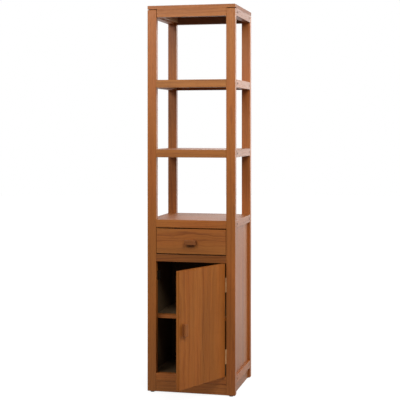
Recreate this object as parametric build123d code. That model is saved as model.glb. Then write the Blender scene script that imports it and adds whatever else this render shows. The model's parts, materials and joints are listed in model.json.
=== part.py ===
from build123d import *
import os

# A tall, narrow solid-wood bathroom tower: open shelves above, one drawer, and a cupboard with a
# hinged door below. Millimetres, +Z up, the front faces -Y and +X is the viewer's right.
# The door stands open in the stored pose.

# Overall size
width = 413.0
depth = 392.0
height = 1780.0

# Corner posts
post_width = 42.0
post_depth = 30.0
post_round = 2.5
post_end_bevel = 1.5

# Foot glides under the posts
glide_height = 5.0
glide_radius = 10.0
glide_round = 1.0
glide_nail_radius = 1.5
glide_nail_length = 14.0

# Top board, carried on the rails a little above the post ends
top_thick = 16.0
top_gap = 3.0
top_round = 1.5
apron_height = 37.5
top_side_rail_height = 35.0

# Shelves: heights of their upper faces above the floor
counter_level = 796.0
middle_level = 1118.0
upper_level = 1438.5
floor_level = 89.0

# Rails
rail_thick = 22.0
side_rail_thick = 30.0
rail_height = 36.0
side_rail_height = 35.0
base_rail_height = 34.5
divider_height = 33.0
edge_round = 1.2

# Tenons of the front and rear rails
tenon_thick = 8.0
tenon_length = 15.0
tenon_shoulder = 6.0
tenon_root = 5.0
joint_clearance = 0.5
apron_joint_gap = 2.5

# Shelf boards, the battens under them and the cleats under the top board
shelf_board_thick = 15.0
shelf_board_count = 3
inner_shelf_thick = 15.0
batten_size = 15.0
cleat_width = 20.0
cleat_height = 27.0
board_gap = 0.5
board_round = 0.8

# Panels of the lower part
panel_thick = 10.0
panel_recess = 12.5
stave_count = 7
stave_bevel = 0.6
back_thick = 8.0
back_inset = 12.0
groove_depth = 5.0

# Kick boards under the base rails
kick_thick = 15.0
kick_front_recess = 2.0
kick_side_recess = 11.0
kick_seam = 0.8

# Drawer
drawer_level = 636.5
drawer_side_gap = 1.5
drawer_top_gap = 5.0
drawer_bottom_gap = 4.5
drawer_front_thick = 18.0
drawer_front_bevel = 1.0
drawer_wall = 12.0
drawer_box_inset = 4.0
drawer_box_top_gap = 21.5
drawer_rear_space = 15.0
drawer_bottom_thick = 6.0
drawer_bottom_raise = 8.0
drawer_housing = 6.0
runner_clearance = 0.5
runner_thick = 15.0
runner_guide_height = 20.0
runner_under_drawer = 12.0
stop_length = 10.0
stop_clearance = 1.0

# Door
door_gap = 1.6
door_thick = 18.0
door_round = 1.5
door_open = 65.0

# Butt hinges
hinge_length = 64.0
hinge_inset_top = 96.0
hinge_inset_bottom = 91.0
leaf_thick = 1.5
leaf_width = 17.0
knuckle_radius = 2.5
knuckle_proud = 2.7
knuckle_count = 5
knuckle_gap = 0.3
pin_radius = 1.5
pin_clearance = 0.05
pin_head_radius = 2.2
pin_head_height = 1.2
screw_radius = 1.5
screw_head_radius = 3.0
screw_head_depth = 1.2
screw_length = 12.0
screw_row = 22.0
screw_line = 9.5
screw_slot_width = 0.8
screw_slot_depth = 0.7
web_overlap = 1.0

# Pulls
pull_length = 53.0
pull_width = 22.0
pull_proud = 18.0
pull_round = 2.0
pull_lip = 6.0
pull_cove_depth = 7.0
drawer_pull_drop = 3.5
door_pull_edge = 30.0
pull_screw_spacing = 32.0
pull_screw_depth = 12.0
pull_screw_raise = 5.5

# Inner shelf
inner_shelf_level = 351.0
inner_shelf_setback = 40.0
inner_shelf_clearance = 1.0
shelf_pin_radius = 2.5
shelf_pin_depth = 7.0
shelf_pin_reach = 10.0
shelf_pin_inset = 40.0

# Cam fittings of the side rails
cam_radius = 6.0
cam_depth = 14.0
cam_sunk = 0.6
cam_distance = 24.0
cam_axis_depth = 10.0
cam_slot_length = 9.0
cam_slot_width = 1.6
cam_slot_depth = 1.5
bolt_radius = 2.5
bolt_clearance = 0.4
bolt_in_post = 12.0
bolt_in_cam = 3.0

# Magnetic catch of the door, its plate let in flush
catch_width = 14.0
catch_height = 40.0
catch_depth = 12.0
catch_drop = 64.0
catch_gap = 0.5
catch_plate_thick = 1.5
catch_plate_width = 10.0
catch_plate_height = 30.0
catch_plate_inset = 3.0

# How far a cutting shape reaches past the face it cuts
over = 1.0

# Planes worked out from the sizes above
front = -depth / 2
rear = depth / 2
side = width / 2
post_inner = side - post_width
post_back = front + post_depth
rear_post_front = rear - post_depth
rail_back = front + rail_thick
rear_rail_front = rear - rail_thick
side_rail_inner = side - side_rail_thick
panel_outer = side - panel_recess
panel_inner = panel_outer - panel_thick
top_underside = height - top_thick
post_top = top_underside - top_gap
door_bottom = floor_level + door_gap
door_top = drawer_level - divider_height - door_gap
door_pull_level = (door_bottom + door_top) / 2
catch_level = door_top - catch_drop
back_front = rear - back_inset - back_thick
shelf_levels = {"counter": counter_level, "middle_shelf": middle_level, "upper_shelf": upper_level}


# Basic shapes

def block(x0, x1, y0, y1, z0, z1):
    """A square-edged board between two opposite corners."""
    centre = Pos((x0 + x1) / 2, (y0 + y1) / 2, (z0 + z1) / 2)
    return centre * Box(x1 - x0, y1 - y0, z1 - z0)


def rounded(board, axis, radius):
    """The board with the four edges along one axis rounded."""
    return fillet(board.edges().filter_by(axis), radius)


def rod(x, y, z, radius, length, axis):
    """A round bar that starts at a point and runs along an axis direction."""
    plane = Plane(origin=(x, y, z), z_dir=axis)
    return plane * Cylinder(radius, length, align=(Align.CENTER, Align.CENTER, Align.MIN))


def mirrored_x(shape):
    return shape.mirror(Plane.YZ)


def mirrored_y(shape):
    return shape.mirror(Plane.XZ)


def group(solids):
    """Separate solids that share one node."""
    return Compound(list(solids))


# Places where the side rails are joined to the posts

def side_rail_spans():
    """Name, underside and top of each pair of side rails."""
    spans = [("top_rail", top_underside - top_side_rail_height, top_underside)]
    for name, level in shelf_levels.items():
        spans.append((name + "_rail", level - side_rail_height, level))
    spans.append(("base_rail", floor_level - base_rail_height, floor_level))
    return spans


def cam_heights():
    return [(low + high) / 2 for _, low, high in side_rail_spans()]


# Rails across the front and the back

def cross_rail_spans():
    """Name, underside and top of each front rail; a second flag tells whether the back has one too."""
    spans = [("top_apron", top_underside - apron_height, top_underside, True)]
    for name, level in shelf_levels.items():
        spans.append((name + "_rail", level - rail_height, level, True))
    spans.append(("divider_rail", drawer_level - divider_height, drawer_level, False))
    spans.append(("base_rail", floor_level - base_rail_height, floor_level, True))
    return spans


def tenon(low, high, length):
    """The tenon at the right end of a front rail, or with a greater length its mortise."""
    middle = front + rail_thick / 2
    half = tenon_thick / 2
    return block(post_inner - tenon_root, post_inner + length, middle - half, middle + half,
                 low + tenon_shoulder, high - tenon_shoulder)


def front_rail(low, high, joint_gap):
    """A rail flush with the front posts; its left shoulder may stand off, the stub tenons reach in."""
    bar = block(joint_gap - post_inner, post_inner, front, rail_back, low, high)
    bar = rounded(bar, Axis.X, edge_round)
    right = tenon(low, high, tenon_length)
    return bar + right + mirrored_x(right)


def side_rail(low, high):
    """A right-hand side rail between the posts, bored for the cam fitting at each end."""
    bar = block(side_rail_inner, side, post_back, rear_post_front, low, high)
    bar = rounded(bar, Axis.Y, edge_round)
    level = (low + high) / 2
    for y, direction in ((post_back, 1), (rear_post_front, -1)):
        cam_y = y + direction * cam_distance
        bar -= rod(side - cam_depth, cam_y, level, cam_radius, cam_depth, (1, 0, 0))
        bar -= rod(side - cam_axis_depth, y, level, bolt_radius + bolt_clearance, cam_distance,
                   (0, direction, 0))
    return bar


def panel_groove():
    """The groove round a right-hand side panel, cut into posts and rails alike."""
    return block(panel_inner, panel_outer, post_back - groove_depth, rear_post_front + groove_depth,
                 floor_level - groove_depth, counter_level - side_rail_height + groove_depth)


def back_groove():
    """The groove round the back panel, cut into the rear posts and rear rails."""
    reach = post_inner + groove_depth
    return block(-reach, reach, back_front, back_front + back_thick,
                 floor_level - groove_depth, counter_level - rail_height + groove_depth)


# Posts

def post():
    """The front right post with its mortises, bolt holes and panel groove."""
    body = block(post_inner, side, front, post_back, glide_height, post_top)
    body = rounded(body, Axis.Z, post_round)
    body = chamfer(body.faces().sort_by(Axis.Z)[0].edges(), post_end_bevel)
    body = chamfer(body.faces().sort_by(Axis.Z)[-1].edges(), post_end_bevel)
    for z in cam_heights():
        body -= rod(side - cam_axis_depth, post_back, z, bolt_radius, bolt_in_post, (0, -1, 0))
    body -= panel_groove()
    body -= rod((post_inner + side) / 2, (front + post_back) / 2, glide_height,
                glide_nail_radius, glide_nail_length, (0, 0, 1))
    return body


def front_post():
    body = post()
    for _, low, high, _ in cross_rail_spans():
        body -= tenon(low, high, tenon_length + joint_clearance)
    return body


def rear_post():
    """The rear right post."""
    body = post()
    for _, low, high, at_back in cross_rail_spans():
        if at_back:
            body -= tenon(low, high, tenon_length + joint_clearance)
    return mirrored_y(body) - back_groove()


def foot_glides():
    """Four round glides, each with its nail in the end of a post."""
    glides = []
    for x in (-side + post_width / 2, side - post_width / 2):
        for y in (front + post_depth / 2, rear - post_depth / 2):
            disc = rod(x, y, 0, glide_radius, glide_height, (0, 0, 1))
            disc = fillet(disc.faces().sort_by(Axis.Z)[0].edges(), glide_round)
            nail = rod(x, y, glide_height, glide_nail_radius, glide_nail_length, (0, 0, 1))
            glides.append(disc + nail)
    return group(glides)


# Top board and shelves

def top_board():
    board = block(-side, side, front, rear, top_underside, height)
    board = rounded(board, Axis.Z, post_round)
    return fillet(board.faces().sort_by(Axis.Z)[-1].edges(), top_round)


def shelf_boards(level):
    """The boards of one shelf, side by side, lying flush between the rails and cut round the posts."""
    start = rail_back + board_gap
    end = rear_rail_front - board_gap
    pitch = (end - start + board_gap) / shelf_board_count
    reach = side_rail_inner - board_gap
    notch_x = post_inner - board_gap
    boards = []
    for index in range(shelf_board_count):
        y0 = start + index * pitch
        y1 = y0 + pitch - board_gap
        board = block(-reach, reach, y0, y1, level - shelf_board_thick, level)
        board = rounded(board, Axis.X, board_round)
        for x0, x1 in ((-side, -notch_x), (notch_x, side)):
            board -= block(x0, x1, front, post_back + board_gap, 0, height)
            board -= block(x0, x1, rear_post_front - board_gap, rear, 0, height)
        boards.append(board)
    return boards


def battens(level):
    """The two strips inside the side rails that carry a shelf."""
    top = level - shelf_board_thick
    right = block(side_rail_inner - batten_size, side_rail_inner, post_back, rear_post_front,
                  top - batten_size, top)
    return [right, mirrored_x(right)]


def top_cleats():
    """The two strips inside the top side rails that hold the top board, cut round the posts."""
    right = block(side_rail_inner - cleat_width, side_rail_inner, rail_back, rear_rail_front,
                  top_underside - cleat_height, top_underside)
    right -= block(post_inner, side, front, post_back, 0, height)
    right -= block(post_inner, side, rear_post_front, rear, 0, height)
    return [right, mirrored_x(right)]


def all_battens():
    strips = battens(floor_level) + top_cleats()
    for level in shelf_levels.values():
        strips += battens(level)
    return group(strips)


# Panels and kick boards of the lower part

def side_panel():
    """The right-hand side panel of upright staves, held in the grooves of posts and rails."""
    inset = groove_depth - joint_clearance
    y0 = post_back - inset
    y1 = rear_post_front + inset
    z0 = floor_level - inset
    z1 = counter_level - side_rail_height + inset
    panel = block(panel_inner, panel_outer, y0, y1, z0, z1)
    pitch = (rear_post_front - post_back) / stave_count
    for index in range(1, stave_count):
        y = post_back + index * pitch
        cut = Pos(panel_outer, y, (z0 + z1) / 2) * Rot(0, 0, 45) * Box(
            stave_bevel, stave_bevel, z1 - z0 + over)
        panel -= cut
    return panel


def back_panel():
    inset = groove_depth - joint_clearance
    reach = post_inner + inset
    return block(-reach, reach, back_front, back_front + back_thick,
                 floor_level - inset, counter_level - rail_height + inset)


def kick_board_front():
    board = block(-post_inner, post_inner, front + kick_front_recess,
                  front + kick_front_recess + kick_thick,
                  glide_height, floor_level - base_rail_height - kick_seam)
    return rounded(board, Axis.X, edge_round)


def kick_board_side():
    outer = side - kick_side_recess
    board = block(outer - kick_thick, outer, post_back, rear_post_front,
                  glide_height, floor_level - base_rail_height - kick_seam)
    return rounded(board, Axis.Y, edge_round)


def inner_shelf():
    reach = panel_inner - inner_shelf_clearance
    board = block(-reach, reach, front + inner_shelf_setback, rear_post_front - inner_shelf_clearance,
                  inner_shelf_level - inner_shelf_thick, inner_shelf_level)
    return rounded(board, Axis.X, board_round)


def shelf_pin_places():
    """Distance along Y of the four pins under the inner shelf."""
    return (front + inner_shelf_setback + shelf_pin_inset, rear_post_front - shelf_pin_inset)


def shelf_pin(y):
    """One right-hand pin, set in the side panel with its top against the shelf's underside."""
    z = inner_shelf_level - inner_shelf_thick - shelf_pin_radius
    return rod(panel_inner + shelf_pin_depth, y, z, shelf_pin_radius,
               shelf_pin_depth + shelf_pin_reach, (-1, 0, 0))


def shelf_pins():
    pins = []
    for y in shelf_pin_places():
        pin = shelf_pin(y)
        pins += [pin, mirrored_x(pin)]
    return group(pins)


def bored_side_panel():
    panel = side_panel()
    for y in shelf_pin_places():
        panel -= shelf_pin(y)
    return panel


# Cam fittings

def cam(y, direction, z):
    """One cam at the right side, with its screwdriver slot and the bore for its bolt."""
    outer = side - cam_sunk
    disc = rod(side - cam_depth, y, z, cam_radius, cam_depth - cam_sunk, (1, 0, 0))
    disc -= block(outer - cam_slot_depth, side, y - cam_slot_length / 2, y + cam_slot_length / 2,
                  z - cam_slot_width / 2, z + cam_slot_width / 2)
    disc -= rod(side - cam_axis_depth, y - direction * (cam_radius + over), z,
                bolt_radius + bolt_clearance, over + bolt_in_cam + bolt_clearance, (0, direction, 0))
    return disc


def cam_bolt(y, direction, z):
    """The bolt from inside a post, through the rail's end, into its cam."""
    return rod(side - cam_axis_depth, y - direction * bolt_in_post, z, bolt_radius,
               bolt_in_post + cam_distance - cam_radius + bolt_in_cam, (0, direction, 0))


def cam_sets(make_one, distance):
    pieces = []
    for z in cam_heights():
        for y, direction in ((post_back, 1), (rear_post_front, -1)):
            piece = make_one(y + direction * distance, direction, z)
            pieces += [piece, mirrored_x(piece)]
    return group(pieces)


# Drawer

def drawer_front_limits():
    low = drawer_level + drawer_bottom_gap
    high = counter_level - rail_height - drawer_top_gap
    return low, high


def drawer_box_limits():
    """Half the outer width, underside, top, and the far end of the box's sides."""
    half = post_inner - drawer_box_inset
    low = drawer_level + runner_clearance
    high = counter_level - rail_height - drawer_box_top_gap
    return half, low, high, rear_post_front - drawer_rear_space


def drawer_bottom_block(grow):
    """The bottom panel, or with grow the groove it slides into."""
    half, low, _, far = drawer_box_limits()
    into = drawer_housing - joint_clearance + grow
    z = low + drawer_bottom_raise
    return block(-half + drawer_wall - into, half - drawer_wall + into,
                 front + drawer_front_thick - into, far - joint_clearance + grow,
                 z, z + drawer_bottom_thick)


def drawer_side():
    """The right-hand side of the drawer box, housed in the back of the drawer front."""
    half, low, high, far = drawer_box_limits()
    wall = block(half - drawer_wall, half, front + drawer_front_thick - drawer_housing, far, low, high)
    wall -= drawer_bottom_block(joint_clearance)
    wall -= drawer_back_block(0)
    return wall


def drawer_back_block(inset):
    half, low, high, far = drawer_box_limits()
    into = drawer_housing / 2 - inset
    z = low + drawer_bottom_raise + drawer_bottom_thick
    return block(-half + drawer_wall - into, half - drawer_wall + into,
                 far - drawer_wall - drawer_housing, far - drawer_housing, z, high)


def drawer_front():
    low, high = drawer_front_limits()
    half, box_low, box_high, _ = drawer_box_limits()
    reach = post_inner - drawer_side_gap
    board = block(-reach, reach, front, front + drawer_front_thick, low, high)
    board = chamfer(board.faces().sort_by(Axis.Y)[0].edges(), drawer_front_bevel)
    back_face = front + drawer_front_thick
    for x0, x1 in ((-half, -half + drawer_wall), (half - drawer_wall, half)):
        board -= block(x0, x1, back_face - drawer_housing, back_face + over, box_low, box_high)
    board -= drawer_bottom_block(joint_clearance)
    for screw in drawer_pull_screws():
        board -= screw
    return board


def drawer_runner():
    """The right-hand runner: a ledge under the drawer side and a guide beside it."""
    half, low, _, _ = drawer_box_limits()
    ledge = block(half - runner_under_drawer, panel_inner, rail_back, rear_post_front,
                  drawer_level - runner_thick, drawer_level)
    guide = block(half + runner_clearance, panel_inner, rail_back, rear_post_front,
                  drawer_level, drawer_level + runner_guide_height)
    post_corner = block(post_inner, side, front, post_back, 0, height)
    return ledge + guide - post_corner


def drawer_stops():
    """The blocks at the back of the runners that the drawer's sides close against."""
    half, low, _, far = drawer_box_limits()
    y0 = far + stop_clearance
    right = block(half - runner_under_drawer, half + runner_clearance, y0, y0 + stop_length,
                  drawer_level, drawer_level + runner_guide_height)
    return group([right, mirrored_x(right)])


# Pulls

def pull_profile():
    """Side view of a pull: a block with a cove for the fingers in its lower side."""
    half = pull_width / 2
    outer = Rectangle(pull_proud, pull_width, align=(Align.MAX, Align.CENTER))
    cove_span = pull_proud - pull_lip
    cove = Pos(-cove_span / 2, -half) * Ellipse(cove_span / 2, pull_cove_depth)
    return outer - cove


def pull():
    """A pull lying along X, its back on the plane Y = 0 and its front towards -Y."""
    profile = Plane.YZ * pull_profile()
    bar = extrude(profile, pull_length / 2, both=True)
    front_edges = bar.faces().sort_by(Axis.Y)[0].edges()
    return fillet(front_edges, pull_round)


def pull_screws_at_origin(thick):
    """Two screws through a board of this thickness into a pull lying along X."""
    screws = []
    for x in (-pull_screw_spacing / 2, pull_screw_spacing / 2):
        shank = rod(x, thick, 0, screw_radius, thick + pull_screw_depth, (0, -1, 0))
        head = rod(x, thick, 0, screw_head_radius, screw_head_depth, (0, -1, 0))
        screws.append(Pos(0, 0, pull_screw_raise) * (shank + head))
    return screws


def slotted_pull_screws(thick):
    """The same screws with a screwdriver slot in each head."""
    reach = pull_length
    slot = block(-reach, reach, thick - screw_slot_depth, thick + over,
                 pull_screw_raise - screw_slot_width / 2, pull_screw_raise + screw_slot_width / 2)
    return [screw - slot for screw in pull_screws_at_origin(thick)]


def bored_pull(thick):
    bar = pull()
    for screw in pull_screws_at_origin(thick):
        bar -= screw
    return bar


def on_drawer(shape):
    low, high = drawer_front_limits()
    return Pos(0, front, (low + high) / 2 - drawer_pull_drop) * shape


def drawer_pull_screws():
    return [on_drawer(screw) for screw in pull_screws_at_origin(drawer_front_thick)]


# Door, modelled closed and then swung open about the hinge axis

hinge_x = post_inner - door_gap / 2
hinge_y = front - knuckle_proud
hinge_axis = Axis((hinge_x, hinge_y, 0), (0, 0, 1))
hinge_centres = (door_top - hinge_inset_top, door_bottom + hinge_inset_bottom)
door_free_edge = -post_inner + door_gap
door_hinge_edge = post_inner - door_gap


def swung(shape):
    """The shape in the door's stored, open position."""
    return shape.rotate(hinge_axis, door_open)


def leaf_plate(x0, x1, z):
    """The flat of one hinge leaf, let in beside the gap."""
    return block(x0, x1, front, front + leaf_width, z - hinge_length / 2, z + hinge_length / 2)


def knuckle_spans(z, wanted):
    """Lower and upper end of every second knuckle, from the first or the second one on."""
    pitch = (hinge_length + knuckle_gap) / knuckle_count
    spans = []
    for index in range(wanted, knuckle_count, 2):
        low = z - hinge_length / 2 + index * pitch
        spans.append((low, low + pitch - knuckle_gap))
    return spans


def hinge_leaf(plate_x0, plate_x1, z, first_knuckle, bore_radius):
    """A leaf with its knuckles joined to the plate by short webs."""
    leaf = leaf_plate(plate_x0, plate_x1, z)
    for low, high in knuckle_spans(z, first_knuckle):
        barrel = rod(hinge_x, hinge_y, low, knuckle_radius, high - low, (0, 0, 1))
        web = block(plate_x0, plate_x1, hinge_y, front + web_overlap, low, high)
        leaf += barrel + web
    bore = rod(hinge_x, hinge_y, z - hinge_length, bore_radius, 2 * hinge_length, (0, 0, 1))
    leaf -= bore
    return leaf


def post_leaf(z):
    leaf = hinge_leaf(post_inner, post_inner + leaf_thick, z, 0, pin_radius)
    for screw in leaf_screws(z):
        leaf -= screw
    return leaf


def door_leaf(z):
    leaf = hinge_leaf(door_hinge_edge - leaf_thick, door_hinge_edge, z, 1, pin_radius + pin_clearance)
    for screw in leaf_screws(z):
        leaf -= mirrored_about_gap(screw)
    return leaf


def mirrored_about_gap(shape):
    return shape.mirror(Plane(origin=(hinge_x, 0, 0), z_dir=(1, 0, 0)))


def leaf_screws(z):
    """Two countersunk screws of the leaf on the post."""
    screws = []
    y = front + screw_line
    for offset in (-screw_row / 2, screw_row / 2):
        shank = rod(post_inner, y, z + offset, screw_radius, screw_length, (1, 0, 0))
        head_plane = Plane(origin=(post_inner + screw_head_depth / 2, y, z + offset), z_dir=(1, 0, 0))
        head = head_plane * Cone(screw_head_radius, screw_radius, screw_head_depth)
        screws.append(shank + head)
    return screws


def slotted_leaf_screws(z):
    """The same two screws with a screwdriver slot in each head."""
    slotted = []
    for screw, offset in zip(leaf_screws(z), (-screw_row / 2, screw_row / 2)):
        slot = block(post_inner - over, post_inner + screw_slot_depth, front, front + 2 * screw_line,
                     z + offset - screw_slot_width / 2, z + offset + screw_slot_width / 2)
        slotted.append(screw - slot)
    return slotted


def hinge_pin(z):
    length = hinge_length + 2 * pin_head_height
    start = z - hinge_length / 2
    pin = rod(hinge_x, hinge_y, start, pin_radius, hinge_length, (0, 0, 1))
    upper = rod(hinge_x, hinge_y, z + hinge_length / 2, pin_head_radius, pin_head_height, (0, 0, 1))
    lower = rod(hinge_x, hinge_y, start - pin_head_height, pin_head_radius, pin_head_height, (0, 0, 1))
    return pin + upper + lower


def door_panel():
    board = block(door_free_edge, door_hinge_edge, front, front + door_thick, door_bottom, door_top)
    board = rounded(board, Axis.Z, door_round)
    for z in hinge_centres:
        board -= leaf_plate(door_hinge_edge - leaf_thick, door_hinge_edge + over, z)
        for screw in leaf_screws(z):
            board -= mirrored_about_gap(screw)
    for screw in door_pull_screws():
        board -= screw
    return board - catch_plate(over)


def on_door(shape):
    """Stands a pull upright near the free edge, its cove towards that edge."""
    upright = shape.rotate(Axis.Y, 90)
    return Pos(door_free_edge + door_pull_edge, front, door_pull_level) * upright


def door_pull_screws():
    return [on_door(screw) for screw in pull_screws_at_origin(door_thick)]


def right_front_post():
    """The post that carries the hinges."""
    body = front_post()
    for z in hinge_centres:
        body -= leaf_plate(post_inner - over, post_inner + leaf_thick, z)
        for screw in leaf_screws(z):
            body -= screw
    return body


# Magnetic catch

def door_catch():
    """The magnet's case on the left post's inner face, just behind the closed door."""
    y0 = front + door_thick + catch_gap
    return block(-post_inner, -post_inner + catch_width, y0, y0 + catch_depth,
                 catch_level - catch_height / 2, catch_level + catch_height / 2)


def catch_plate(past_face):
    """The plate near the door's free edge, or reaching past the door's inner face its pocket."""
    x0 = door_free_edge + catch_plate_inset
    face = front + door_thick
    return block(x0, x0 + catch_plate_width, face - catch_plate_thick, face + past_face,
                 catch_level - catch_plate_height / 2, catch_level + catch_plate_height / 2)


# Every piece under its own name

def build_pieces():
    pieces = {}
    left_post = mirrored_x(front_post())
    pieces["post_front_left"] = left_post
    pieces["post_front_right"] = right_front_post()
    pieces["post_rear_right"] = rear_post()
    pieces["post_rear_left"] = mirrored_x(pieces["post_rear_right"])
    pieces["foot_glides"] = foot_glides()
    pieces["top_board"] = top_board()
    for name, low, high, at_back in cross_rail_spans():
        rail = front_rail(low, high, 0)
        if at_back:
            pieces[name + "_front"] = rail
            pieces[name + "_rear"] = mirrored_y(rail)
        else:
            pieces[name] = rail
    pieces["top_apron_front"] = front_rail(top_underside - apron_height, top_underside, apron_joint_gap)
    for name in ("counter_rail_rear", "base_rail_rear"):
        pieces[name] -= back_groove()
    for name, low, high in side_rail_spans():
        rail = side_rail(low, high)
        if name in ("counter_rail", "base_rail"):
            rail -= panel_groove()
        pieces[name + "_right"] = rail
        pieces[name + "_left"] = mirrored_x(rail)
    for name, level in shelf_levels.items():
        pieces[name + "_boards"] = group(shelf_boards(level))
    pieces["cupboard_floor"] = group(shelf_boards(floor_level))
    pieces["shelf_battens"] = all_battens()
    panel = bored_side_panel()
    pieces["side_panel_right"] = panel
    pieces["side_panel_left"] = mirrored_x(panel)
    pieces["back_panel"] = back_panel()
    kick = kick_board_front()
    pieces["kick_board_front"] = kick
    pieces["kick_board_rear"] = mirrored_y(kick)
    side_kick = kick_board_side()
    pieces["kick_boards_side"] = group([side_kick, mirrored_x(side_kick)])
    pieces["inner_shelf"] = inner_shelf()
    pieces["shelf_pins"] = shelf_pins()
    pieces["rail_cams"] = cam_sets(cam, cam_distance)
    pieces["cam_bolts"] = cam_sets(cam_bolt, 0)
    runner = drawer_runner()
    pieces["drawer_runners"] = group([runner, mirrored_x(runner)])
    pieces["drawer_stops"] = drawer_stops()
    pieces["hinge_post_leaves"] = group(post_leaf(z) for z in hinge_centres)
    pieces["hinge_pins"] = group(hinge_pin(z) for z in hinge_centres)
    pieces["hinge_post_screws"] = group(s for z in hinge_centres for s in slotted_leaf_screws(z))
    pieces["door_catch"] = door_catch()
    wall = drawer_side()
    pieces["drawer_sides"] = group([wall, mirrored_x(wall)])
    pieces["drawer_front"] = drawer_front()
    pieces["drawer_back"] = drawer_back_block(0)
    pieces["drawer_bottom"] = drawer_bottom_block(0)
    pieces["drawer_pull"] = on_drawer(bored_pull(drawer_front_thick))
    pieces["drawer_pull_screws"] = group(on_drawer(s) for s in slotted_pull_screws(drawer_front_thick))
    pieces["door_panel"] = swung(door_panel())
    pieces["door_pull"] = swung(on_door(bored_pull(door_thick)))
    pieces["door_pull_screws"] = swung(group(on_door(s) for s in slotted_pull_screws(door_thick)))
    pieces["hinge_door_leaves"] = swung(group(door_leaf(z) for z in hinge_centres))
    door_screws = [mirrored_about_gap(s) for z in hinge_centres for s in slotted_leaf_screws(z)]
    pieces["hinge_door_screws"] = swung(group(door_screws))
    pieces["catch_plate"] = swung(catch_plate(0))
    return pieces


def main():
    """Moves the origin under the middle of everything, open door included, and writes the pieces."""
    os.makedirs("parts", exist_ok=True)
    pieces = build_pieces()
    reach = [piece.bounding_box() for piece in pieces.values()]
    nearest = min(box.min.Y for box in reach)
    shift = -(nearest + rear) / 2
    for name, piece in pieces.items():
        moved = Pos(0, shift, 0) * piece
        export_step(moved, "parts/" + name + ".step")
    print("pieces", len(pieces))
    print("origin moved along Y by", round(shift, 4))
    print("hinge axis at X", round(hinge_x, 4), "Y", round(hinge_y + shift, 4))
    return shift


main()
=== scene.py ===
"""The looks of a tall teak bathroom tower with open shelves, a drawer and an open cupboard.

Every wooden piece gets a procedural teak whose rings, fibres and pores run along its own grain.
Metres, in the same frame as the solids: +Z up, the front faces -Y.
"""
import json
import math

import bpy
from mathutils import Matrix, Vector


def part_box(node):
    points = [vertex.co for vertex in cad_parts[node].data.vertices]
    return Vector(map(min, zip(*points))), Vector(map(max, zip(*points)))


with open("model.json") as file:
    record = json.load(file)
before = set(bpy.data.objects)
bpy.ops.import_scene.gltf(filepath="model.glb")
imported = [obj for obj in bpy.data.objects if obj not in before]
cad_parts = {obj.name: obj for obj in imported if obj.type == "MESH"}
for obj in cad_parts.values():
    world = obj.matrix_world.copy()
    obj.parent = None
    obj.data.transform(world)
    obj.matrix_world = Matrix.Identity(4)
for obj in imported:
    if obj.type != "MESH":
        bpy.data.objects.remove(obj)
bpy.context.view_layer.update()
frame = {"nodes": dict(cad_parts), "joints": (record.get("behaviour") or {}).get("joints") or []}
nodes = frame["nodes"]

# Where the photograph was taken from, measured from the front right post
EYE_RIGHT = 0.9557
EYE_AHEAD = 4.6618
EYE_HEIGHT = 1.2216
EYE_TURN = math.radians(13.5)
LENS = 94.68
SENSOR = 36.0
SHIFT_UP = -0.1825

# Colours in linear light: as the surfaces are, save the shaded teak and the cupboard's dark colour, which
# are painted shade, and the catch's near black, which is partly painted shade
TEAK_PALE = (0.410, 0.132, 0.024)
TEAK_DARK = (0.235, 0.064, 0.009)
BROWN_PALE = (0.368, 0.130, 0.026)
BROWN_DARK = (0.211, 0.064, 0.010)
# Teak with painted shade: a duller, greyer copy of teak that stands in for the shade on the rear apron's
# inner face under the top
SHADED_PALE = (0.330, 0.150, 0.070)
SHADED_DARK = (0.190, 0.076, 0.030)
BOX_PALE = (0.520, 0.300, 0.150)
BOX_DARK = (0.330, 0.170, 0.075)
BACK_PALE = (0.260, 0.100, 0.030)
BACK_DARK = (0.150, 0.050, 0.013)
PULL_PALE = (0.250, 0.085, 0.022)
PULL_DARK = (0.150, 0.044, 0.012)
PORE = (0.080, 0.022, 0.005)
REDDER = (1.03, 0.975, 0.94)
BROWNER = (0.97, 1.02, 1.04)
# Painted shade: a flat dark colour laid inside the cupboard, where there is only shade
PAINTED_SHADE_COLOUR = (0.100, 0.065, 0.034)
BRASS = (0.800, 0.480, 0.230)
BRASS_TARNISH = (0.520, 0.270, 0.120)
STEEL = (0.600, 0.590, 0.570)
STEEL_DULL = (0.380, 0.370, 0.350)
BRONZE = (0.050, 0.035, 0.028)
BRONZE_WORN = (0.090, 0.065, 0.050)
GLIDE = (0.040, 0.036, 0.034)
GLIDE_WORN = (0.070, 0.062, 0.056)
# The door catch: black plastic, darkened further to near black and left without shine as painted shade, so
# it sinks into the shade inside the cupboard
CATCH = (0.008, 0.006, 0.004)
CATCH_WORN = (0.012, 0.009, 0.006)

# Glued boards or staves in a panel
TOP_BOARDS = 4
SHELF_BOARDS = 3
STAVES = 7
BACK_BOARDS = 5

# The wood's growth rings: their width, where the pith lies, and how far they slant, bow and ripple
RING_WIDTH = 0.0065
PITH_ASIDE = 0.15
PITH_DEPTH = 0.03
PITH_DEPTH_SPREAD = 0.09
SLANT = 0.05
BOW = 0.060
BOW_SCALE = (1.6, 5.0, 5.0)
RIPPLE = 0.009
RIPPLE_SCALE = (7.0, 30.0, 30.0)

# Parts of a ring over which its late wood darkens and ends, and how strong the weakest year's is
LATE_RISE = (0.25, 0.85)
LATE_FALL = (0.90, 1.0)
WEAKEST_YEAR = 0.2

# Patterns per metre along, across and through the board
FIBRE_SCALE = (7.0, 380.0, 380.0)
STREAK_SCALE = (1.3, 38.0, 38.0)
CLOUD_SCALE = (2.2, 9.0, 9.0)
PORE_SCALE = (38.0, 1150.0, 1150.0)
PATCH_SCALE = (2.5, 11.0, 11.0)

# Where each pattern starts and is full
PORE_RANGE = (0.60, 0.72)
PATCH_RANGE = (0.30, 0.70)
TONE_RANGE = (-0.15, 1.15)
END_RANGE = (0.5, 0.95)

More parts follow.
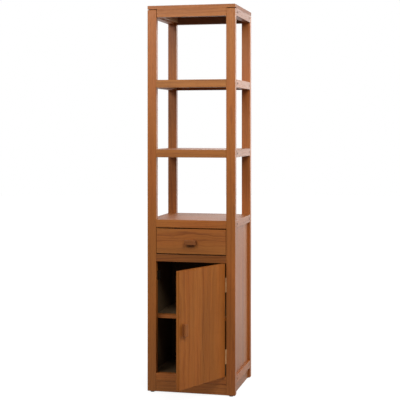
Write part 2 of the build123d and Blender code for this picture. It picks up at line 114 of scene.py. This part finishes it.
# How much each pattern darkens the wood
LATE_WOOD = 0.34
EARLY_WOOD = -0.08
STREAKS = 0.85
FIBRES = 0.55
CLOUDS = 0.60
MIDDLE_TONE = 0.40
BOARD_SPREAD = 0.42
END_GRAIN = 0.35
PORES = 0.45

# Roughness and relief of the wood
WOOD_ROUGHNESS = 0.43
PORE_ROUGHNESS = 0.16
FIBRE_ROUGHNESS = 0.16
END_ROUGHNESS = 0.12
# Roughness added by the painted shade inside the cupboard
PAINTED_SHADE_ROUGHNESS = 0.4
RELIEF_DEPTH = 0.0003
RELIEF_STRENGTH = 0.5
FIBRE_RELIEF = 0.5
LATE_RELIEF = -0.25
PORE_RELIEF = -0.8

# How far boards are spread through the patterns, and what a right piece adds to its pair's number
BOARD_SHIFT = (9.0, 9.0, 9.0)
MIRROR_STEP = 31.0


# Shader building in plain calls

def put(tree, value, socket):
    """Links a socket, or sets a plain value."""
    if isinstance(value, bpy.types.NodeSocket):
        tree.links.new(value, socket)
    elif isinstance(value, tuple) and len(value) == 3 and socket.type == "RGBA":
        socket.default_value = (*value, 1.0)
    else:
        socket.default_value = value


def calc(tree, operation, *values):
    node = tree.nodes.new("ShaderNodeMath")
    node.operation = operation
    for value, socket in zip(values, node.inputs):
        put(tree, value, socket)
    return node.outputs[0]


def vector(tree, operation, *values):
    node = tree.nodes.new("ShaderNodeVectorMath")
    node.operation = operation
    for value, socket in zip(values, node.inputs):
        put(tree, value, socket)
    return node.outputs[0]


def split(tree, value):
    node = tree.nodes.new("ShaderNodeSeparateXYZ")
    put(tree, value, node.inputs[0])
    return node.outputs


def combine(tree, values):
    node = tree.nodes.new("ShaderNodeCombineXYZ")
    for value, socket in zip(values, node.inputs):
        put(tree, value, socket)
    return node.outputs[0]


def noise(tree, place, stretch, detail=2.0, roughness=0.5):
    """Noise from 0 to 1 whose scale per metre differs along the three axes."""
    node = tree.nodes.new("ShaderNodeTexNoise")
    put(tree, vector(tree, "MULTIPLY", place, stretch), node.inputs["Vector"])
    node.inputs["Scale"].default_value = 1.0
    node.inputs["Detail"].default_value = detail
    node.inputs["Roughness"].default_value = roughness
    return node.outputs[0]


def ramp(tree, value, low, high, out_low=0.0, out_high=1.0):
    """A smooth step between two values."""
    node = tree.nodes.new("ShaderNodeMapRange")
    node.interpolation_type = "SMOOTHSTEP"
    for item, socket in zip((value, low, high, out_low, out_high), node.inputs):
        put(tree, item, socket)
    return node.outputs[0]


def blend(tree, factor, first, second):
    """A mix of two colours, which the node takes in its sockets 6 and 7."""
    node = tree.nodes.new("ShaderNodeMix")
    node.data_type = "RGBA"
    put(tree, factor, node.inputs[0])
    put(tree, first, node.inputs[6])
    put(tree, second, node.inputs[7])
    return node.outputs[2]


def random_of(tree, value):
    """Four values from 0 to 1 that belong to a number."""
    node = tree.nodes.new("ShaderNodeTexWhiteNoise")
    node.noise_dimensions = "1D"
    put(tree, value, node.inputs["W"])
    parts = tree.nodes.new("ShaderNodeSeparateColor")
    put(tree, node.outputs["Color"], parts.inputs[0])
    return [*parts.outputs[:3], node.outputs["Value"]]


def swing(tree, value, amount):
    """A value from 0 to 1 turned into one from -amount/2 to +amount/2."""
    return calc(tree, "MULTIPLY", calc(tree, "SUBTRACT", value, 0.5), amount)


# Wood

def figure_sockets(tree):
    """The inputs and outputs of the wood's group."""
    face = tree.interface
    face.new_socket("Place", in_out="INPUT", socket_type="NodeSocketVector")
    face.new_socket("Board", in_out="INPUT", socket_type="NodeSocketFloat")
    face.new_socket("End", in_out="INPUT", socket_type="NodeSocketFloat")
    face.new_socket("Strength", in_out="INPUT", socket_type="NodeSocketFloat")
    face.new_socket("Pale", in_out="INPUT", socket_type="NodeSocketColor")
    face.new_socket("Dark", in_out="INPUT", socket_type="NodeSocketColor")
    face.new_socket("Color", in_out="OUTPUT", socket_type="NodeSocketColor")
    face.new_socket("Roughness", in_out="OUTPUT", socket_type="NodeSocketFloat")
    face.new_socket("Relief", in_out="OUTPUT", socket_type="NodeSocketFloat")
    return tree.nodes.new("NodeGroupInput").outputs, tree.nodes.new("NodeGroupOutput").inputs


def late_wood(tree, given, moved, chances):
    """The dark part of each growth ring, from 0 to 1, round a pith beside and behind the board."""
    along, across, thick = split(tree, given["Place"])
    bow = swing(tree, noise(tree, moved, BOW_SCALE, 1.0), BOW)
    slant = calc(tree, "MULTIPLY", along, swing(tree, chances[2], SLANT))
    side = calc(tree, "ADD", across, calc(tree, "ADD", slant, bow))
    side = calc(tree, "ADD", side, swing(tree, chances[0], PITH_ASIDE))
    pith = calc(tree, "MULTIPLY_ADD", chances[1], PITH_DEPTH_SPREAD, PITH_DEPTH)
    depth = calc(tree, "ADD", thick, pith)
    radius = calc(tree, "SQRT", calc(tree, "ADD", calc(tree, "MULTIPLY", side, side),
                                     calc(tree, "MULTIPLY", depth, depth)))
    ripple = swing(tree, noise(tree, moved, RIPPLE_SCALE, 2.0), RIPPLE)
    ripple = calc(tree, "MULTIPLY", ripple, given["Strength"])
    rings = calc(tree, "DIVIDE", calc(tree, "ADD", radius, ripple), RING_WIDTH)
    phase = calc(tree, "FRACT", rings)
    late = calc(tree, "MULTIPLY", ramp(tree, phase, *LATE_RISE), ramp(tree, phase, *LATE_FALL, 1.0, 0.0))
    year = random_of(tree, calc(tree, "FLOOR", rings))[3]
    return calc(tree, "MULTIPLY", late, calc(tree, "MULTIPLY_ADD", year, 1.0 - WEAKEST_YEAR, WEAKEST_YEAR))


def wood_colour(tree, given, moved, late, fibre, pores, chance):
    """From the pale to the dark colour with the patterns, then patches of hue and dark pores."""
    streak = noise(tree, moved, STREAK_SCALE, 2.0, 0.55)
    cloud = noise(tree, moved, CLOUD_SCALE, 1.0)
    tone = calc(tree, "MULTIPLY_ADD", late, LATE_WOOD, EARLY_WOOD)
    for value, amount in ((streak, STREAKS), (fibre, FIBRES), (cloud, CLOUDS)):
        tone = calc(tree, "ADD", tone, swing(tree, value, amount))
    tone = calc(tree, "MULTIPLY_ADD", tone, given["Strength"], MIDDLE_TONE)
    tone = calc(tree, "ADD", tone, swing(tree, chance, BOARD_SPREAD))
    tone = calc(tree, "MULTIPLY_ADD", given["End"], END_GRAIN, tone)
    colour = blend(tree, ramp(tree, tone, *TONE_RANGE), given["Pale"], given["Dark"])
    patch = ramp(tree, noise(tree, moved, PATCH_SCALE, 1.0), *PATCH_RANGE)
    colour = vector(tree, "MULTIPLY", colour, blend(tree, patch, REDDER, BROWNER))
    return blend(tree, calc(tree, "MULTIPLY", pores, PORES), colour, PORE)


def wood_figure():
    """Group: growth rings, streaks, fibres and open pores along X, which differ with the board's number."""
    tree = bpy.data.node_groups.new("wood_figure", "ShaderNodeTree")
    given, result = figure_sockets(tree)
    *chances, spare = random_of(tree, given["Board"])
    moved = vector(tree, "MULTIPLY_ADD", combine(tree, chances), BOARD_SHIFT, given["Place"])
    late = late_wood(tree, given, moved, chances)
    fibre = noise(tree, moved, FIBRE_SCALE, 3.0, 0.6)
    pores = ramp(tree, noise(tree, moved, PORE_SCALE, 1.0), *PORE_RANGE)
    put(tree, wood_colour(tree, given, moved, late, fibre, pores, spare), result["Color"])

    rough = calc(tree, "MULTIPLY_ADD", pores, PORE_ROUGHNESS, WOOD_ROUGHNESS)
    rough = calc(tree, "ADD", rough, swing(tree, fibre, FIBRE_ROUGHNESS))
    put(tree, calc(tree, "MULTIPLY_ADD", given["End"], END_ROUGHNESS, rough), result["Roughness"])
    height = calc(tree, "MULTIPLY_ADD", fibre, FIBRE_RELIEF, calc(tree, "MULTIPLY", late, LATE_RELIEF))
    put(tree, calc(tree, "MULTIPLY_ADD", pores, PORE_RELIEF, height), result["Relief"])
    return tree


def new_material(name):
    material = bpy.data.materials.new(name)
    material.use_nodes = True
    tree = material.node_tree
    return material, tree, tree.nodes["Principled BSDF"]


def add_relief(tree, surface, height, strength, distance):
    bump = tree.nodes.new("ShaderNodeBump")
    bump.inputs["Strength"].default_value = strength
    bump.inputs["Distance"].default_value = distance
    put(tree, height, bump.inputs["Height"])
    put(tree, bump.outputs[0], surface.inputs["Normal"])


def glued(tree, across, number, boards):
    """Each board between two edges gets its own number, and all share the first one's span across."""
    local = across
    for near, far in zip(boards[:-1], boards[1:]):
        past = calc(tree, "GREATER_THAN", across, far)
        local = calc(tree, "MULTIPLY_ADD", past, near - far, local)
        number = calc(tree, "ADD", past, number)
    return local, number


def wood(name, board, order, centre, colours, tone=1.0, boards=None, turn=0.0, pivot=(0, 0, 0),
         mirrored=False):
    """Teak whose grain runs along the first axis of order.

    boards gives the edges of glued boards across the grain. turn and pivot lay the figure along
    a piece that stands turned. mirrored draws another figure on the right half of a pair. The pieces
    listed for the cupboard get painted shade, a flat dark colour where they lie inside it.
    """
    material, tree, surface = new_material(name)
    coordinates = tree.nodes.new("ShaderNodeTexCoord")
    place = coordinates.outputs["Object"]
    normal = coordinates.outputs["Normal"]
    inside = painted_shade_mask(tree, place, PAINTED_SHADE_FROM[name]) if name in PAINTED_SHADE_FROM else 0.0
    if turn:
        place = turned(tree, place, pivot, turn)
        normal = turned(tree, normal, (0, 0, 0), turn)
    number = float(board)
    if mirrored:
        right = calc(tree, "GREATER_THAN", split(tree, place)[0], 0.0)
        number = calc(tree, "MULTIPLY_ADD", right, MIRROR_STEP, number)
    axes = ["XYZ".index(letter) for letter in order]
    parts = split(tree, vector(tree, "SUBTRACT", place, tuple(centre)))
    along, across, thick = (parts[axis] for axis in axes)
    if boards:
        across, number = glued(tree, across, number, boards)
    end = calc(tree, "ABSOLUTE", split(tree, normal)[axes[0]])

    figure = tree.nodes.new("ShaderNodeGroup")
    figure.node_tree = WOOD
    put(tree, combine(tree, (along, across, thick)), figure.inputs["Place"])
    put(tree, number, figure.inputs["Board"])
    put(tree, ramp(tree, end, *END_RANGE), figure.inputs["End"])
    put(tree, OTHER_FIGURE.get(name, 1.0), figure.inputs["Strength"])
    for colour, socket in zip(colours, ("Pale", "Dark")):
        put(tree, tuple(part * tone for part in colour), figure.inputs[socket])

    # Painted shade: inside the cupboard the wood's colour, roughness and shine give way to a flat dark
    # colour
    put(tree, blend(tree, inside, figure.outputs["Color"], PAINTED_SHADE_COLOUR), surface.inputs["Base Color"])
    rough = calc(tree, "MULTIPLY_ADD", inside, PAINTED_SHADE_ROUGHNESS, figure.outputs["Roughness"])
    put(tree, rough, surface.inputs["Roughness"])
    shine = OTHER_SHINE.get(name, SHINE)
    if name in PAINTED_SHADE_FROM:
        shine = calc(tree, "MULTIPLY_ADD", inside, PAINTED_SHADE_SHINE - shine, shine)
    put(tree, shine, surface.inputs["Specular IOR Level"])
    add_relief(tree, surface, figure.outputs["Relief"], RELIEF_STRENGTH, RELIEF_DEPTH)
    return material


def painted_shade_mask(tree, place, start):
    """One inside the cupboard from a distance along Y rearwards, nought elsewhere: the mask of the painted
    shade.
    """
    spans = ((-CUPBOARD_HALF, CUPBOARD_HALF), (start, CUPBOARD_BACK), (CUPBOARD_FLOOR, CUPBOARD_TOP))
    inside = 1.0
    for value, (low, high) in zip(split(tree, place), spans):
        within = calc(tree, "COMPARE", value, (low + high) / 2, (high - low) / 2 + PAINTED_SHADE_SLACK)
        inside = calc(tree, "MULTIPLY", inside, within)
    return inside


def turned(tree, place, pivot, angle):
    node = tree.nodes.new("ShaderNodeVectorRotate")
    node.rotation_type = "Z_AXIS"
    put(tree, place, node.inputs["Vector"])
    node.inputs["Center"].default_value = pivot
    node.inputs["Angle"].default_value = angle
    return node.outputs[0]


def dress(name, material):
    mesh = nodes[name].data
    mesh.materials.clear()
    mesh.materials.append(material)


def centre_of(name):
    low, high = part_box(name)
    return (low + high) / 2


def span(name, axis):
    """How far a node reaches from its own centre along an axis."""
    low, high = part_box(name)
    return (high[axis] - low[axis]) / 2


def equal_boards(half, count):
    return [half * (2 * index / count - 1) for index in range(count + 1)]


# How strongly the oiled wood shines, and the pieces that differ
SHINE = 0.35
OTHER_SHINE = {
    "door_panel": 0.12,
    "door_pull": 0.12,
    "drawer_pull": 0.25,
    "side_panel_right": 0.55,
    "post_rear_right": 0.50,
    "top_rail_right": 0.30,
    "upper_shelf_rail_right": 0.55,
    "middle_shelf_rail_right": 0.40,
    "counter_rail_right": 0.55,
}

# Pieces whose figure is stronger or quieter than the usual
OTHER_FIGURE = {
    "drawer_front": 2.2,
    "divider_rail": 1.6,
    "counter_rail_front": 1.5,
    "base_rail_front": 1.4,
    "kick_board_front": 1.4,
    "upper_shelf_rail_front": 1.8,
    "middle_shelf_rail_front": 1.5,
    "side_panel_right": 1.4,
    "door_panel": 1.2,
}

# The inside of the cupboard
CUPBOARD_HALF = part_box("side_panel_right")[0].x
CUPBOARD_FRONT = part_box("post_front_left")[1].y
CUPBOARD_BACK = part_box("back_panel")[0].y
CUPBOARD_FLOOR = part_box("cupboard_floor")[1].z
CUPBOARD_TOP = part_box("divider_rail")[0].z
# How far the painted shade's mask reaches past the cupboard's bounds, how little its dark colour shines,
# and how far back the inner shelf stays bare wood
PAINTED_SHADE_SLACK = 0.0004
PAINTED_SHADE_SHINE = 0.05
SHELF_EDGE = 0.040

# The pieces that get painted shade in it, a flat dark colour standing in for the cupboard's shade, and how
# far back each one's painted shade starts
PAINTED_SHADE_FROM = {
    "side_panel_left": CUPBOARD_FRONT,
    "side_panel_right": CUPBOARD_FRONT,
    "post_rear_left": CUPBOARD_FRONT,
    "post_rear_right": CUPBOARD_FRONT,
    "back_panel": CUPBOARD_FRONT,
    "cupboard_floor": CUPBOARD_FRONT,
    "base_rail_left": CUPBOARD_FRONT,
    "base_rail_right": CUPBOARD_FRONT,
    "base_rail_rear": CUPBOARD_FRONT,
    "inner_shelf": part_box("inner_shelf")[0].y + SHELF_EDGE,
}

WOOD = wood_figure()
TEAK = (TEAK_PALE, TEAK_DARK)
BOX = (BOX_PALE, BOX_DARK)
BACK = (BACK_PALE, BACK_DARK)
PULL = (PULL_PALE, PULL_DARK)
SHADED = (SHADED_PALE, SHADED_DARK)
BROWN = (BROWN_PALE, BROWN_DARK)

# Node, number that draws its figure, axes along, across and through the board, colours, tone
PLAIN_WOODS = [
    ("post_front_left", 514, "ZXY", TEAK, 0.93),
    ("post_front_right", 815, "ZXY", TEAK, 0.93),
    ("post_rear_left", 634, "ZXY", TEAK, 0.97),
    ("post_rear_right", 17, "ZXY", TEAK, 1.18),
    ("top_apron_front", 21, "XZY", TEAK, 0.92),
    # The rear apron's inner face lies under the top and gets the teak with painted shade
    ("top_apron_rear", 24, "XZY", SHADED, 1.00),
    ("top_rail_left", 28, "YZX", TEAK, 0.90),
    ("top_rail_right", 30, "YZX", TEAK, 0.74),
    ("upper_shelf_rail_front", 433, "XZY", BROWN, 1.07),
    ("upper_shelf_rail_rear", 35, "XZY", TEAK, 1.00),
    ("upper_shelf_rail_left", 37, "YZX", TEAK, 1.00),
    ("upper_shelf_rail_right", 39, "YZX", TEAK, 0.88),
    ("middle_shelf_rail_front", 775, "XZY", BROWN, 0.97),
    ("middle_shelf_rail_rear", 44, "XZY", TEAK, 0.95),
    ("middle_shelf_rail_left", 47, "YZX", TEAK, 1.00),
    ("middle_shelf_rail_right", 49, "YZX", TEAK, 0.82),
    ("counter_rail_front", 822, "XZY", TEAK, 1.01),
    ("counter_rail_rear", 55, "XZY", TEAK, 0.95),
    ("counter_rail_left", 57, "YZX", TEAK, 1.00),
    ("counter_rail_right", 59, "YZX", TEAK, 0.85),
    ("divider_rail", 462, "XZY", TEAK, 0.67),
    ("base_rail_front", 539, "XZY", TEAK, 1.12),
    ("base_rail_rear", 67, "XZY", TEAK, 1.00),
    ("base_rail_left", 69, "YZX", TEAK, 1.00),
    ("base_rail_right", 71, "YZX", TEAK, 1.02),
    ("kick_board_front", 770, "XZY", TEAK, 0.96),
    ("kick_board_rear", 76, "XZY", TEAK, 1.00),
    ("inner_shelf", 79, "XYZ", TEAK, 0.95),
    ("drawer_front", 97, "XZY", TEAK, 0.81),
    ("drawer_back", 86, "XZY", BOX, 1.00),
    ("drawer_bottom", 88, "XYZ", BOX, 1.00),
    ("drawer_pull", 91, "XZY", PULL, 0.92),
    ("door_pull", 95, "ZXY", PULL, 1.40),
]

# The same, for nodes that hold a left and a right piece
MIRRORED_WOODS = [
    ("kick_boards_side", 101, "YZX", TEAK, 0.80),
    ("shelf_battens", 105, "YZX", BOX, 1.00),
    ("drawer_sides", 108, "YZX", BOX, 1.00),
    ("drawer_runners", 112, "YZX", BOX, 1.00),
    ("drawer_stops", 115, "YZX", BOX, 1.00),
]

# The same, with the count of boards glued side by side before the colours
GLUED_WOODS = [
    ("top_board", 201, "XYZ", TOP_BOARDS, TEAK, 0.85),
    ("upper_shelf_boards", 211, "XYZ", SHELF_BOARDS, TEAK, 1.00),
    ("middle_shelf_boards", 221, "XYZ", SHELF_BOARDS, TEAK, 1.00),
    ("counter_boards", 231, "XYZ", SHELF_BOARDS, TEAK, 1.00),
    ("cupboard_floor", 241, "XYZ", SHELF_BOARDS, TEAK, 0.90),
    ("side_panel_left", 251, "ZYX", STAVES, TEAK, 1.00),
    ("side_panel_right", 905, "ZYX", STAVES, TEAK, 0.94),
    ("back_panel", 271, "ZXY", BACK_BOARDS, BACK, 1.00),
]


def dress_woods():
    for name, board, order, colours, tone in PLAIN_WOODS:
        dress(name, wood(name, board, order, centre_of(name), colours, tone))
    for name, board, order, colours, tone in MIRRORED_WOODS:
        dress(name, wood(name, board, order, centre_of(name), colours, tone, mirrored=True))
    for name, board, order, count, colours, tone in GLUED_WOODS:
        half = span(name, "XYZ".index(order[1]))
        dress(name, wood(name, board, order, centre_of(name), colours, tone, equal_boards(half, count)))
    dress_door()


# Edges of the door's glued boards, from its free edge to its hinge edge
DOOR_BOARDS = (0.0, 0.104, 0.154, 0.215, 0.284, 0.326)
DOOR_TONE = 0.94


def dress_door():
    """The door's own axes are turned with it, as it stands open at rest."""
    hinge = next(joint for joint in frame["joints"] if joint["name"] == "door_hinge")
    open_angle = -math.radians(hinge["range_deg"][0])
    pivot = tuple(hinge["pos_m"])
    free_edge = (pivot[0] - DOOR_BOARDS[-1], pivot[1], 0.0)
    dress("door_panel", wood("door_panel", 301, "ZXY", free_edge, TEAK, DOOR_TONE, DOOR_BOARDS,
                             turn=-open_angle, pivot=pivot))


# Metal and plastic: where wear starts and is full, how far roughness and relief vary, how much finer
WORN_RANGE = (0.40, 0.75)
WORN_SPREAD = 0.2
WORN_RELIEF = 0.0001
WORN_RELIEF_STRENGTH = 0.3
WORN_FINER = 9


def worn(name, fresh, dull, metallic, roughness, scale, shine=0.5):
    """A finish whose colour and roughness change a little from place to place."""
    material, tree, surface = new_material(name)
    place = tree.nodes.new("ShaderNodeTexCoord").outputs["Object"]
    patch = noise(tree, place, (scale, scale, scale), 4.0, 0.6)
    put(tree, blend(tree, ramp(tree, patch, *WORN_RANGE), fresh, dull), surface.inputs["Base Color"])
    surface.inputs["Metallic"].default_value = metallic
    surface.inputs["Specular IOR Level"].default_value = shine
    finer = scale * WORN_FINER
    fine = noise(tree, place, (finer, finer, finer), 3.0)
    put(tree, calc(tree, "MULTIPLY_ADD", fine, WORN_SPREAD, roughness), surface.inputs["Roughness"])
    add_relief(tree, surface, fine, WORN_RELIEF_STRENGTH, WORN_RELIEF)
    return material


def dress_fittings():
    brass = worn("satin_brass", BRASS, BRASS_TARNISH, metallic=0.7, roughness=0.32, scale=90.0)
    screw = worn("brass_screw", BRASS, BRASS_TARNISH, metallic=1.0, roughness=0.28, scale=300.0)
    steel = worn("zinc_steel", STEEL, STEEL_DULL, metallic=1.0, roughness=0.25, scale=250.0)
    bronze = worn("dark_bronze", BRONZE, BRONZE_WORN, metallic=0.0, roughness=0.60, scale=200.0,
                  shine=0.15)
    glide = worn("glide_plastic", GLIDE, GLIDE_WORN, metallic=0.0, roughness=0.60, scale=150.0)
    # The catch's near-black colour and missing shine are partly painted shade
    catch = worn("catch_plastic", CATCH, CATCH_WORN, metallic=0.0, roughness=0.80, scale=120.0,
                 shine=0.0)
    for name in ("hinge_post_leaves", "hinge_door_leaves", "hinge_pins"):
        dress(name, brass)
    for name in ("hinge_post_screws", "hinge_door_screws"):
        dress(name, screw)
    for name in ("drawer_pull_screws", "door_pull_screws", "shelf_pins", "catch_plate", "cam_bolts"):
        dress(name, steel)
    dress("rail_cams", bronze)
    dress("foot_glides", glide)
    dress("door_catch", catch)


# Studio: name, place, what it faces, size and power of each lamp

LAMPS = [
    ("key_left", (-1.3, -2.2, 2.6), (0.0, 0.0, 1.1), 1.4, 43.0),
    ("key_right", (1.4, -2.0, 2.8), (0.0, 0.0, 1.15), 1.4, 55.0),
    ("side_right", (2.6, 0.2, 2.1), (0.0, 0.0, 1.1), 1.4, 42.0),
    ("rear_right", (1.3, 3.0, 1.5), (0.0, 0.0, 1.0), 1.8, 18.0),
    ("rear", (0.0, 2.8, 2.4), (0.0, 0.0, 1.1), 1.4, 10.0),
    ("sheen", (-0.5, -2.9, 2.2), (0.0, 0.0, 1.6), 0.8, 7.0),
]
AMBIENT = 0.18

# The floor: its size, its grey, and how it fades from the feet to the white backdrop
FLOOR_RADIUS = 14.0
FLOOR_GREY = 0.25
FLOOR_ROUGHNESS = 0.9
FLOOR_AT_FEET = 0.88
FADE_FROM = 0.6
FADE_TO = 2.2

# What the floor and the backdrop show in reflections, less at the feet and on the camera's side
MIRROR_AHEAD = 0.10
MIRROR_AHEAD_FROM = -1.5
MIRROR_AHEAD_TO = 0.3
MIRROR_AT_FEET = 0.70
MIRROR_FEET_FROM = 0.5
MIRROR_FEET_TO = 3.2
BACKDROP_AHEAD = 0.08
BACKDROP_FROM = 0.20
BACKDROP_TO = 0.90


def soft_box(name, place, target, size, power):
    """A square lamp that faces a point and isn't seen itself."""
    data = bpy.data.lights.new(name, "AREA")
    data.shape = "SQUARE"
    data.size = size
    data.energy = power
    lamp = bpy.data.objects.new(name, data)
    bpy.context.scene.collection.objects.link(lamp)
    lamp.location = place
    lamp.rotation_euler = (Vector(target) - Vector(place)).to_track_quat("-Z", "Y").to_euler()
    lamp.visible_camera = False


def make_floor():
    """Pale paper that keeps a faint shadow round the feet and fades to white."""
    bpy.ops.mesh.primitive_circle_add(vertices=96, radius=FLOOR_RADIUS, fill_type="NGON")
    floor = bpy.context.object
    floor.name = "studio_floor"
    material, tree, surface = new_material("studio_floor")
    surface.inputs["Base Color"].default_value = (FLOOR_GREY, FLOOR_GREY, FLOOR_GREY, 1.0)
    surface.inputs["Roughness"].default_value = FLOOR_ROUGHNESS
    surface.inputs["Specular IOR Level"].default_value = 0.0
    surface.inputs["Emission Color"].default_value = (1.0, 1.0, 1.0, 1.0)
    place = tree.nodes.new("ShaderNodeTexCoord").outputs["Object"]
    apart = tree.nodes.new("ShaderNodeVectorMath")
    apart.operation = "LENGTH"
    put(tree, place, apart.inputs[0])
    apart = apart.outputs["Value"]
    white = ramp(tree, apart, FADE_FROM, FADE_TO, FLOOR_AT_FEET, 1.0)
    rays = tree.nodes.new("ShaderNodeLightPath").outputs
    seen = calc(tree, "MAXIMUM", rays["Is Camera Ray"], rays["Is Transmission Ray"])
    ahead = split(tree, place)[1]
    rearwards = ramp(tree, ahead, MIRROR_AHEAD_FROM, MIRROR_AHEAD_TO, MIRROR_AHEAD, 1.0)
    mirrored = calc(tree, "MULTIPLY", rays["Is Glossy Ray"], rearwards)
    outwards = ramp(tree, apart, MIRROR_FEET_FROM, MIRROR_FEET_TO, MIRROR_AT_FEET, 1.0)
    mirrored = calc(tree, "MULTIPLY", mirrored, outwards)
    put(tree, calc(tree, "MULTIPLY", white, calc(tree, "MAXIMUM", seen, mirrored)),
        surface.inputs["Emission Strength"])
    floor.data.materials.append(material)


def make_world():
    """White to the camera and to reflections from behind the tower, dim to the rest."""
    world = bpy.data.worlds.new("studio")
    bpy.context.scene.world = world
    world.use_nodes = True
    tree = world.node_tree
    background = tree.nodes["Background"]
    rays = tree.nodes.new("ShaderNodeLightPath").outputs
    ahead = split(tree, tree.nodes.new("ShaderNodeTexCoord").outputs["Generated"])[1]
    rearwards = ramp(tree, ahead, BACKDROP_FROM, BACKDROP_TO, BACKDROP_AHEAD, 1.0)
    mirrored = calc(tree, "MULTIPLY", rays["Is Glossy Ray"], rearwards)
    seen = calc(tree, "MAXIMUM", rays["Is Camera Ray"], rays["Is Transmission Ray"])
    seen = calc(tree, "MAXIMUM", seen, mirrored)
    ambient = calc(tree, "MULTIPLY", rays["Is Diffuse Ray"], AMBIENT)
    put(tree, calc(tree, "MAXIMUM", seen, ambient), background.inputs["Strength"])
    background.inputs["Color"].default_value = (1.0, 1.0, 1.0, 1.0)


def make_camera():
    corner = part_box("post_front_right")
    data = bpy.data.cameras.new("camera")
    data.lens = LENS
    data.sensor_width = SENSOR
    data.shift_y = SHIFT_UP
    camera = bpy.data.objects.new("camera", data)
    bpy.context.scene.collection.objects.link(camera)
    camera.location = (corner[1].x + EYE_RIGHT, corner[0].y - EYE_AHEAD, EYE_HEIGHT)
    camera.rotation_euler = (math.pi / 2, 0.0, EYE_TURN)
    bpy.context.scene.camera = camera


make_camera()
dress_woods()
dress_fittings()
make_floor()
make_world()
for name, place, target, size, power in LAMPS:
    soft_box(name, place, target, size, power)
bpy.context.scene.view_settings.view_transform = "Standard"
